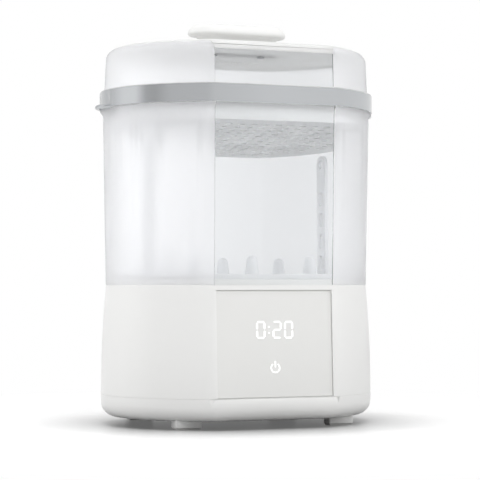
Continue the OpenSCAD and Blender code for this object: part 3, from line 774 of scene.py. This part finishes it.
class STERILISER_OT_inner_works(bpy.types.Operator):
    """Finish of what the base holds: boards, heater, fan, duct and filter"""

    bl_idname = "steriliser.inner_works"
    bl_label = "Inner Works"

    def execute(self, context):
        steel = finish(
            "Brushed Steel",
            (0.6, 0.6, 0.61),
            0.28,
            group="Brushed Lines",
            stretch=(900.0, 20.0, 20.0),
            Metallic=1.0,
        )
        low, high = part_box("heating_plate")
        turned = finish(
            "Turned Steel",
            (0.6, 0.6, 0.61),
            0.22,
            group="Turned Rings",
            change=0.3,
            bump=0.05,
            centre=((low[0] + high[0]) / 2, (low[1] + high[1]) / 2, 0.0),
            Metallic=1.0,
        )
        screw = finish("Zinc Screw", (0.58, 0.58, 0.6), 0.35, tone=0.1, Metallic=1.0)
        dark = finish("Dark Plastic", (0.035, 0.036, 0.04), 0.5, tone=0.2, bump=0.1)
        board = finish(
            "Circuit Board", (0.02, 0.16, 0.08), 0.35, group="Board Traces", bump=0.1
        )
        cast = finish(
            "Cast Aluminium", (0.45, 0.45, 0.46), 0.55, tone=0.2, bump=0.25, Metallic=0.9
        )
        cable = finish("Grey Cable", (0.45, 0.45, 0.46), 0.5, tone=0.15)
        duct = finish("Duct Plastic", (0.72, 0.72, 0.71), 0.45, tone=0.06, bump=0.05)
        paper = finish("Filter Paper", (0.82, 0.8, 0.74), 0.9, tone=0.12, bump=0.5, grain=1800.0)
        for material, nodes in (
            (steel, ("plate_clamp", "fan_motor")),
            (turned, ("heating_plate",)),
            (screw, ("base_screws", "board_screws", "clamp_screws", "handle_screws")),
            (dark, ("led_display", "touch_pad", "fan_housing", "fan_impeller")),
            (dark, ("cord_gland", "thermostat", "board_components")),
            (board, ("control_board", "power_board")),
            (cast, ("heating_element", "air_heater")),
            (cable, ("ribbon_cable",)),
            (duct, ("air_duct", "filter_bay")),
            (paper, ("air_filter",)),
        ):
            for node in nodes:
                cover(node, material)
        return {"FINISHED"}


class STERILISER_OT_studio(bpy.types.Operator):
    """Floor, lamps, surroundings and camera"""

    bl_idname = "steriliser.studio"
    bl_label = "Studio"

    def execute(self, context):
        values = studio_values()
        scene = context.scene
        scene.view_settings.view_transform = "Standard"
        self.make_floor(scene)
        self.make_world(scene, values)
        self.make_lamps(scene, values)
        camera = bpy.data.objects.new("camera", bpy.data.cameras.new("camera"))
        camera.data.lens = values.lens
        camera.data.sensor_width = SENSOR
        camera.location = (
            values.distance * math.sin(values.azimuth),
            -values.distance * math.cos(values.azimuth),
            values.height,
        )
        camera.rotation_euler = (values.pitch, 0.0, values.azimuth + values.swing)
        scene.collection.objects.link(camera)
        scene.camera = camera
        return {"FINISHED"}

    def make_floor(self, scene):
        mesh = bpy.data.meshes.new("floor")
        corners = [
            (x * FLOOR_HALF, y * FLOOR_HALF, 0) for x, y in ((-1, -1), (1, -1), (1, 1), (-1, 1))
        ]
        mesh.from_pydata(corners, [], [(0, 1, 2, 3)])
        floor = bpy.data.objects.new("floor", mesh)
        scene.collection.objects.link(floor)
        floor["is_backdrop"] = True
        material = bpy.data.materials.new("Studio Floor")
        material.use_nodes = True
        tree = material.node_tree
        shader = tree.nodes["Principled BSDF"]
        shader.inputs["Roughness"].default_value = 0.35
        shader.inputs["Specular IOR Level"].default_value = 0.3
        # Painted contact shadow: ambient occlusion mixes the floor's base colour toward a painted
        # shadow colour under the machine.
        near = add_node(
            tree, "ShaderNodeAmbientOcclusion", {"Distance": SHADOW_REACH}, samples=8
        ).outputs["AO"]
        depth = math_node(tree, "POWER", near, SHADOW_POWER)
        shade = mix_colour(tree, depth, FLOOR_PAINTED_SHADOW, FLOOR_PALE)
        tree.links.new(shade, shader.inputs["Base Color"])
        away = add_node(
            tree, "ShaderNodeVectorMath", {0: object_coordinates(tree)}, operation="LENGTH"
        ).outputs["Value"]
        fade = add_node(
            tree,
            "ShaderNodeMapRange",
            {"Value": away, "From Min": FADE_FROM, "From Max": FADE_TO},
            interpolation_type="SMOOTHSTEP",
        ).outputs[0]
        eye = tree.nodes.new("ShaderNodeLightPath").outputs["Is Camera Ray"]
        white = add_node(tree, "ShaderNodeEmission", {"Color": (1, 1, 1, 1), "Strength": 1.0})
        lift = add_node(
            tree,
            "ShaderNodeEmission",
            {"Color": (1, 1, 1, 1), "Strength": math_node(tree, "MULTIPLY", eye, FLOOR_LIFT)},
        )
        lit = add_node(tree, "ShaderNodeAddShader", {0: shader.outputs[0], 1: lift.outputs[0]})
        seen = math_node(tree, "MULTIPLY", fade, eye)
        mix = add_node(
            tree, "ShaderNodeMixShader", {0: seen, 1: lit.outputs[0], 2: white.outputs[0]}
        )
        tree.links.new(mix.outputs[0], tree.nodes["Material Output"].inputs["Surface"])
        mesh.materials.append(material)

    def make_world(self, scene, values):
        world = bpy.data.worlds.new("studio")
        scene.world = world
        world.use_nodes = True
        tree = world.node_tree
        light = tree.nodes["Background"]
        light.inputs["Color"].default_value = (1, 1, 1, 1)
        light.inputs["Strength"].default_value = values.ambient
        seen = add_node(tree, "ShaderNodeBackground", {"Color": (1, 1, 1, 1), "Strength": 1.0})
        path = tree.nodes.new("ShaderNodeLightPath").outputs
        shown = math_node(tree, "MAXIMUM", path["Is Camera Ray"], path["Is Transmission Ray"])
        mix = add_node(
            tree, "ShaderNodeMixShader", {0: shown, 1: light.outputs[0], 2: seen.outputs[0]}
        )
        cards = self.gloss_cards(tree)
        last = add_node(
            tree,
            "ShaderNodeMixShader",
            {0: path["Is Glossy Ray"], 1: mix.outputs[0], 2: cards.outputs[0]},
        )
        tree.links.new(last.outputs[0], tree.nodes["World Output"].inputs["Surface"])

    def gloss_cards(self, tree):
        """The ring of white and grey cards round the machine, as a background."""
        way = tree.nodes.new("ShaderNodeTexCoord").outputs["Generated"]
        way = add_node(tree, "ShaderNodeSeparateXYZ", {0: way}).outputs
        ahead = math_node(tree, "MULTIPLY", way["Y"], -1.0)
        turn = math_node(tree, "ARCTAN2", way["X"], ahead)
        round_about = add_node(
            tree,
            "ShaderNodeMapRange",
            {"Value": turn, "From Min": -math.pi, "From Max": math.pi},
        ).outputs[0]
        cards = add_node(tree, "ShaderNodeValToRGB", {0: round_about})
        stops = cards.color_ramp.elements
        for degrees, level in GLOSS_CARDS:
            if degrees == -180:
                stop = stops[0]
            elif degrees == 180:
                stop = stops[-1]
            else:
                stop = stops.new(degrees / 360 + 0.5)
            stop.color = (level, level, level, 1)
        return add_node(
            tree, "ShaderNodeBackground", {"Color": cards.outputs[0], "Strength": GLOSS_STRENGTH}
        )

    def make_lamps(self, scene, values):
        for name, (place, aim, size) in LAMPS.items():
            data = bpy.data.lights.new(name, "AREA")
            data.shape = "RECTANGLE"
            data.size, data.size_y = size
            data.energy = getattr(values, name)
            lamp = bpy.data.objects.new(name, data)
            lamp.location = place
            to_machine = Vector((0, 0, aim)) - lamp.location
            lamp.rotation_euler = to_machine.to_track_quat("-Z", "Y").to_euler()
            lamp.visible_camera = False
            lamp.visible_glossy = False
            scene.collection.objects.link(lamp)


class STERILISER_PT_panel(bpy.types.Panel):
    """Lists the steps that finish the machine"""

    bl_idname = "STERILISER_PT_panel"
    bl_label = "Steriliser"
    bl_space_type = "VIEW_3D"
    bl_region_type = "UI"
    bl_category = "Steriliser"

    def draw(self, context):
        for group in (finish_values(), studio_values()):
            box = self.layout.box()
            for key in group.__annotations__:
                box.prop(group, key)
        for step in STEPS:
            self.layout.operator(step.bl_idname)


STEPS = (
    STERILISER_OT_white_mouldings,
    STERILISER_OT_control_panel,
    STERILISER_OT_frosted_walls,
    STERILISER_OT_racks,
    STERILISER_OT_silver_ring,
    STERILISER_OT_inner_works,
    STERILISER_OT_studio,
)
CLASSES = (SteriliserFinish, SteriliserStudio, *STEPS, STERILISER_PT_panel)


def register():
    for item in CLASSES:
        bpy.utils.register_class(item)
    bpy.types.Scene.steriliser_finish = bpy.props.PointerProperty(type=SteriliserFinish)
    bpy.types.Scene.steriliser_studio = bpy.props.PointerProperty(type=SteriliserStudio)


def unregister():
    del bpy.types.Scene.steriliser_studio
    del bpy.types.Scene.steriliser_finish
    for item in reversed(CLASSES):
        bpy.utils.unregister_class(item)


def main():
    register()
    for step in STEPS:
        group, name = step.bl_idname.split(".")
        getattr(getattr(bpy.ops, group), name)()
    sizes = {"cad": CAD_BOX, "visual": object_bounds()}
    for key, box in sizes.items():
        sizes[key] = [[round(x, 6) for x in corner] for corner in box]


if __name__ == "__main__":
    main()
